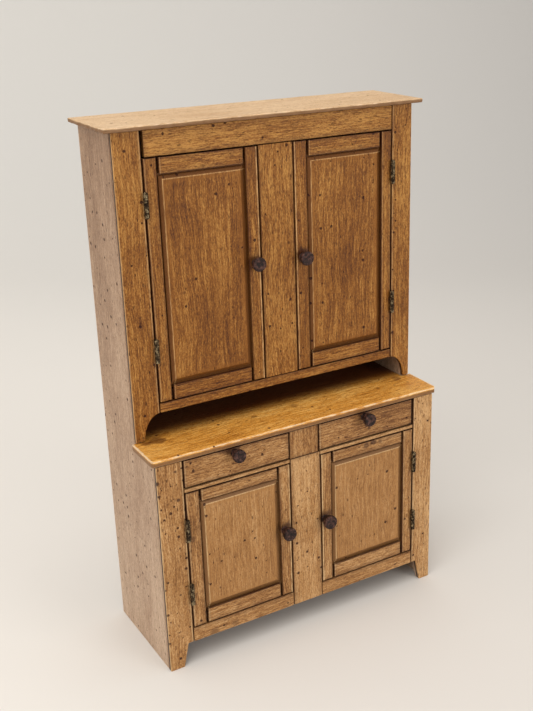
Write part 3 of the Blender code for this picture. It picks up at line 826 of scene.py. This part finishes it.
def look_of(name):
    """How one wooden piece has aged, with light and shade painted on it: dark rims of dirt and painted
    shade at its gaps, painted highlights on some arrises, rubbing, worm holes, painted shade under edges
    and inside, and painted light on the side panels.
    """
    look = {**USUAL_LOOK, "holes": HOLES.get(name, USUAL_LOOK["holes"]), "stains": stains_on(name)}
    if name.endswith("_stile") and "door" not in name and "centre" not in name:
        level, side, _ = name.split("_")
        rail = "upper_bottom_rail" if level == "upper" else "left_bottom_rail"
        look.update(frame_stile(side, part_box(rail)[0].z), seam_behind=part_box(name)[0].y)
    elif name.endswith("door_panel"):
        # Panels, closing stiles, doors and drawer fronts get a painted highlight along the sides given,
        # where their arrises catch the light
        look.update(rim="LRTB", pale="LT", bevel=True, grime=0.1, line=0.85, line_width=0.6)
        look["contrast"] = 0.6 if name.startswith("lower") else 0.95
    elif name.endswith("closing_stile"):
        look.update(rim="LRTB", pale="R" if "left_door" in name else "L", pale_strength=0.95, line=0.6)
    elif "door" in name or name.endswith("drawer_front"):
        look.update(rim="LRTB", pale="L", pale_strength=0.35)
    elif name.endswith("drawer_rail"):
        # Drawer rails and fixed front pieces get dirt and painted shade along their gaps
        look.update(rim="TB", line=0.4, grime=0.1)
    elif name in FRONT_SIDES:
        look.update(rim=FRONT_SIDES[name], line=0.55)
    elif name == "top_board":
        # The top board's edge gets painted shade below its top arris
        look.update(rim="B", wear=0.45, rub=0.4, under=0.12 * MM)
    elif name == "worktop":
        # The worktop's worn front arris, kept unbroken, is bare wood and also a painted highlight along
        # its nose
        look.update(rim="B", wear=0.7, least_rub=0.35, rub=0.7, coat=0.12)
        # Painted shade on the worktop's front edge below its arris, and at its back under the upper case
        look.update(under=0.5 * MM, shaded_from=WORKTOP_SHADE)
    elif name == "back_panel":
        # Painted shade on the back panel's inner face
        look.update(inside_before=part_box(name)[1].y - BACK_SKIN)
    elif name.endswith("side_panel"):
        # The side panels are painted lighter towards the foot, a painted light like that thrown up from
        # the floor
        look.update(wear=0.5, contrast=0.8, fade=0.2)
    return look


def opening_box(name):
    """A piece's box, with hidden tongues left off and a frame stile's inner side at its doors."""
    low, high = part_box(name)
    if name.endswith("door_panel"):
        low += Vector((PANEL_STEP, 0.0, PANEL_STEP))
        high -= Vector((PANEL_STEP, 0.0, PANEL_STEP))
    elif name.endswith("_rail") and "door" in name:
        low.x += RAIL_TONGUE
        high.x -= RAIL_TONGUE
    elif name.endswith("left_stile"):
        high.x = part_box(name.replace("stile", "door_hinge_stile"))[0].x - DOOR_GAP
    elif name.endswith("right_stile"):
        low.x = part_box(name.replace("stile", "door_hinge_stile"))[1].x + DOOR_GAP
    return low, high


def finish_wood():
    """Gives every wooden CAD node a material of its own and eased arrises."""
    for number, (name, obj) in enumerate(sorted(frame["nodes"].items())):
        slot = slot_of(name)
        if slot in PALETTES:
            grain = "Z" if any(word in name for word in UPRIGHT) else "X"
            wood = Wood(name, slot, opening_box(name), grain, number, look_of(name))
            assign(obj, wood.build())
            ease_edges(obj, ARRIS_RADIUS)


def new_piece(name, shape, body, material):
    """A piece from a bmesh, in place in the frame, riding on a body."""
    mesh = bpy.data.meshes.new(name)
    bmesh.ops.recalc_face_normals(shape, faces=shape.faces)
    shape.to_mesh(mesh)
    shape.free()
    mesh.shade_smooth()
    mesh.set_sharp_from_angle(angle=math.radians(SHARP_ANGLE))
    mesh.materials.append(material)
    piece = bpy.data.objects.new(name, mesh)
    bpy.context.scene.collection.objects.link(piece)
    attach(piece, body)
    return piece


def turned(shape, profile, segments, axis="Z", at=(0.0, 0.0, 0.0)):
    """Adds a closed turned solid to a bmesh. Its profile is (radius, height), and ends on its axis."""
    rings = []
    for radius, height in profile:
        if radius == 0.0:
            rings.append([shape.verts.new((0.0, 0.0, height))])
            continue
        angles = [2 * math.pi * i / segments for i in range(segments)]
        points = [(radius * math.cos(a), radius * math.sin(a), height) for a in angles]
        rings.append([shape.verts.new(point) for point in points])
    for first, second in zip(rings, rings[1:]):
        for i in range(segments):
            j = (i + 1) % segments
            corners = [first[i % len(first)], first[j % len(first)]]
            corners += [second[j % len(second)], second[i % len(second)]]
            shape.faces.new(list(dict.fromkeys(corners)))
    turn = Matrix.Rotation(math.pi / 2, 4, "X") if axis == "-Y" else Matrix.Identity(4)
    verts = [vert for ring in rings for vert in ring]
    bmesh.ops.transform(shape, matrix=Matrix.Translation(at) @ turn, verts=verts)
    return verts


def eased_block(shape, low, high, easing):
    """Adds a box with eased edges to a bmesh."""
    size = Vector(high) - Vector(low)
    middle = (Vector(high) + Vector(low)) / 2
    cube = bmesh.ops.create_cube(shape, size=1.0)["verts"]
    bmesh.ops.scale(shape, vec=size, verts=cube)
    bmesh.ops.translate(shape, vec=middle, verts=cube)
    edges = list({edge for vert in cube for edge in vert.link_edges})
    bmesh.ops.bevel(shape, geom=edges, offset=easing, segments=2, affect="EDGES", profile=0.5)


def knuckle_profile(low, high):
    """A short barrel with rounded ends, for turned."""
    r, e = KNUCKLE_RADIUS, KNUCKLE_ROUNDING
    return [(0.0, low), (r - e, low), (r, low + e), (r, high - e), (r - e, high), (0.0, high)]


def hinge_half(shape, axis, heights, side, numbers):
    """Every other knuckle of a hinge, and the leaf on the given side of its pin."""
    low, high = heights
    pitch = (high - low) / KNUCKLES
    for number in numbers:
        bottom = low + pitch * number + KNUCKLE_GAP / 2
        profile = knuckle_profile(bottom, bottom + pitch - KNUCKLE_GAP)
        turned(shape, profile, KNUCKLE_SEGMENTS, at=(axis.x, axis.y, 0.0))
    near = axis.x + side * LEAF_OFFSET
    far = near + side * LEAF_THICKNESS
    face_y = axis.y + KNUCKLE_RADIUS
    leaf_low = (min(near, far), axis.y + KNUCKLE_RADIUS * LEAF_START, low + LEAF_END)
    leaf_high = (max(near, far), face_y + LEAF_DEPTH, high - LEAF_END)
    eased_block(shape, leaf_low, leaf_high, LEAF_EASING)


def pin_heads(shape, axis, heights):
    """The two domed ends of the pin, which stand just past the barrel."""
    for height, way in ((heights[0], -1.0), (heights[1], 1.0)):
        dome = [(0.0, height - way * PIN_SUNK), (PIN_RADIUS, height - way * PIN_SUNK)]
        for step in range(PIN_STEPS - 1):
            angle = math.pi / 2 * step / (PIN_STEPS - 1)
            dome.append((PIN_RADIUS * math.cos(angle), height + way * PIN_DOME * math.sin(angle)))
        dome.append((0.0, height + way * PIN_DOME))
        turned(shape, dome, PIN_SEGMENTS, at=(axis.x, axis.y, 0.0))


def make_hinge(node, brass):
    """A butt hinge in two halves: one rides on the case and stands for the CAD hinge, one on the door."""
    door = node[: node.index("_door_") + len("_door")]
    low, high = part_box(node)
    axis = Vector(((low.x + high.x) / 2, low.y + (high.x - low.x) / 2, 0.0))
    side = 1.0 if "right_door" in node else -1.0
    heights = (low.z, high.z)
    case = bmesh.new()
    hinge_half(case, axis, heights, side, range(0, KNUCKLES, 2))
    pin_heads(case, axis, heights)
    piece = new_piece(f"{node}_case_half", case, "root", brass)
    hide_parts(node)
    leaf = bmesh.new()
    hinge_half(leaf, axis, heights, -side, range(1, KNUCKLES, 2))
    piece = new_piece(f"{node}_door_half", leaf, door, brass)


def make_knob(node, seed):
    """A hand-turned knob, a little out of true, that stands for the CAD knob."""
    low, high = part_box(node)
    radius = (high.x - low.x) / 2
    length = high.y - low.y
    shape = bmesh.new()
    profile = [(across * radius, along * length) for across, along in KNOB_PROFILE] + [(0.0, 0.0)]
    centre = ((low.x + high.x) / 2, high.y, (low.z + high.z) / 2)
    verts = turned(shape, profile, KNOB_SEGMENTS, axis="-Y", at=centre)
    for vert in verts:
        way = vert.co - Vector(centre)
        bump = noise.noise(way * WOBBLE_FREQUENCY + Vector((seed * WOBBLE_SEED_STEP, 0.0, 0.0)))
        vert.co -= way.normalized() * KNOB_WOBBLE * (1.0 + bump)
    body = node[: -len("_knob")]
    piece = new_piece(f"{node}_turned", shape, body, dark_knob(node, seed))
    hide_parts(node)


def outline(low, high, spacing):
    """Points round an upright box's plan, about a spacing apart."""
    plan = ((low.x, low.y), (high.x, low.y), (high.x, high.y), (low.x, high.y))
    corners = [Vector(corner) for corner in plan]
    points = []
    for start, end in zip(corners, corners[1:] + corners[:1]):
        steps = int((end - start).length / spacing)
        points += [start.lerp(end, step / steps) for step in range(steps)]
    return points


def worn_loop(shape, low, high, inset, height):
    """One level loop of vertices round a board: set in, and bitten further in where wood is missing."""
    loop = []
    for point in outline(low, high, BOARD_SPACING):
        place = Vector((point.x, point.y, height)) / BOARD_CHIP_SIZE
        bite = BOARD_BITE * max(0.0, noise.noise(place) + BITE_BIAS) if inset < BOARD_RIM else 0.0
        x, y = (min(max(point[i], low[i] + inset + bite), high[i] - inset - bite) for i in range(2))
        loop.append(shape.verts.new((x, y, height)))
    return loop


def make_worn_board(node):
    """A thin board with nibbled, uneven edges, that stands for the CAD board."""
    low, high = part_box(node)
    easing = [(across * BOARD_EASING, down * BOARD_EASING) for across, down in EASING_STEPS]
    rows = [(BOARD_RIM, high.z)]
    rows += [(inset, high.z - drop) for inset, drop in easing]
    rows += [(inset, low.z + rise) for inset, rise in reversed(easing)]
    rows += [(BOARD_RIM, low.z)]
    shape = bmesh.new()
    loops = [worn_loop(shape, low, high, inset, height) for inset, height in rows]
    count = len(loops[0])
    for upper, lower in zip(loops, loops[1:]):
        for i in range(count):
            j = (i + 1) % count
            shape.faces.new((upper[i], lower[i], lower[j], upper[j]))
    for loop in (loops[0], loops[-1]):
        middle = shape.verts.new(((low.x + high.x) / 2, (low.y + high.y) / 2, loop[0].co.z))
        for i in range(count):
            shape.faces.new((loop[i], loop[(i + 1) % count], middle))
    bmesh.ops.remove_doubles(shape, verts=shape.verts[:], dist=WELD_DISTANCE)
    slot = slot_of(node)
    material = Wood(f"{node}_worn", slot, (low, high), "X", BOARD_SEED, look_of(node)).build()
    piece = new_piece(f"{node}_worn", shape, "root", material)
    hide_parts(node)


def finish_fittings():
    """Makes the knobs and hinges that stand for the CAD ones."""
    brass = aged_brass("hinge_brass")
    for number, name in enumerate(sorted(frame["nodes"])):
        if name.endswith("_knob"):
            make_knob(name, number)
        elif name.endswith("_hinge"):
            make_hinge(name, brass)


def floor_paper_painted_shade():
    """Pale paper with painted shade, darker to the right and behind the cupboard, where less light falls.
    """
    g = Graph("floor_paper_painted_shade")
    across, depth, _ = g.parts(g.node("ShaderNodeTexCoord").outputs["Object"])
    colour = g.ramp(g.spread(across, -FLOOR_FADE, FLOOR_FADE, smooth=False), FLOOR_SHADED_COLOURS)
    colour = g.mix(g.spread(depth, *BACKDROP_FADE), colour, BACKDROP_SHADE, blend="MULTIPLY")
    values = {"Base Color": colour, "Roughness": FLOOR_ROUGHNESS, "Specular IOR Level": FLOOR_SHINE}
    g.set_shader(values)
    return g.material


def make_sweep():
    """A pale floor that curves up behind the cupboard without a corner."""
    profile = [(SWEEP_FRONT, 0.0)]
    for number in range(SWEEP_STEPS + 1):
        angle = math.pi / 2 * number / SWEEP_STEPS
        height = SWEEP_RADIUS * (1 - math.cos(angle))
        profile.append((SWEEP_BEND + SWEEP_RADIUS * math.sin(angle), height))
    profile.append((SWEEP_BEND + SWEEP_RADIUS, SWEEP_TOP))
    shape = bmesh.new()
    rows = [[shape.verts.new((x, y, z)) for y, z in profile] for x in (-SWEEP_HALF, SWEEP_HALF)]
    for number in range(len(profile) - 1):
        shape.faces.new((rows[0][number], rows[1][number], rows[1][number + 1], rows[0][number + 1]))
    mesh = bpy.data.meshes.new("floor_sweep")
    shape.to_mesh(mesh)
    shape.free()
    mesh.shade_smooth()
    mesh.materials.append(floor_paper_painted_shade())
    sweep = bpy.data.objects.new("floor_sweep", mesh)
    bpy.context.scene.collection.objects.link(sweep)
    sweep.matrix_world = Matrix.Rotation(math.radians(CAMERA_TURN[2]), 4, "Z")


def add_area_light(name, point, width, power, colour):
    """A square lamp that points at the middle of the cupboard."""
    light = bpy.data.lights.new(name, "AREA")
    light.shape = "SQUARE"
    light.size = width
    light.energy = power
    light.color = linear(colour)[:3]
    lamp = bpy.data.objects.new(name, light)
    bpy.context.scene.collection.objects.link(lamp)
    lamp.location = point
    direction = Vector(AIM) - Vector(point)
    lamp.rotation_euler = direction.to_track_quat("-Z", "Y").to_euler()


def light_scene():
    """A dim room of even light, and soft square lamps."""
    world = bpy.data.worlds.new("room")
    world.use_nodes = True
    background = world.node_tree.nodes["Background"]
    background.inputs["Color"].default_value = linear(ROOM_COLOUR)
    background.inputs["Strength"].default_value = ROOM_STRENGTH
    bpy.context.scene.world = world
    for light in LIGHTS:
        add_area_light(*light)
    bpy.context.scene.view_settings.view_transform = "Standard"


def make_camera():
    """The scene's camera."""
    data = bpy.data.cameras.new("camera")
    data.lens = CAMERA_LENS
    data.sensor_width = CAMERA_SENSOR
    data.shift_x = CAMERA_SHIFT[0]
    data.shift_y = CAMERA_SHIFT[1]
    data.clip_start = CAMERA_CLIP
    camera = bpy.data.objects.new("camera", data)
    bpy.context.scene.collection.objects.link(camera)
    camera.location = CAMERA_POINT
    camera.rotation_euler = [math.radians(angle) for angle in CAMERA_TURN]
    bpy.context.scene.camera = camera


make_camera()
light_scene()
make_sweep()
finish_wood()
finish_fittings()
make_worn_board("top_board")
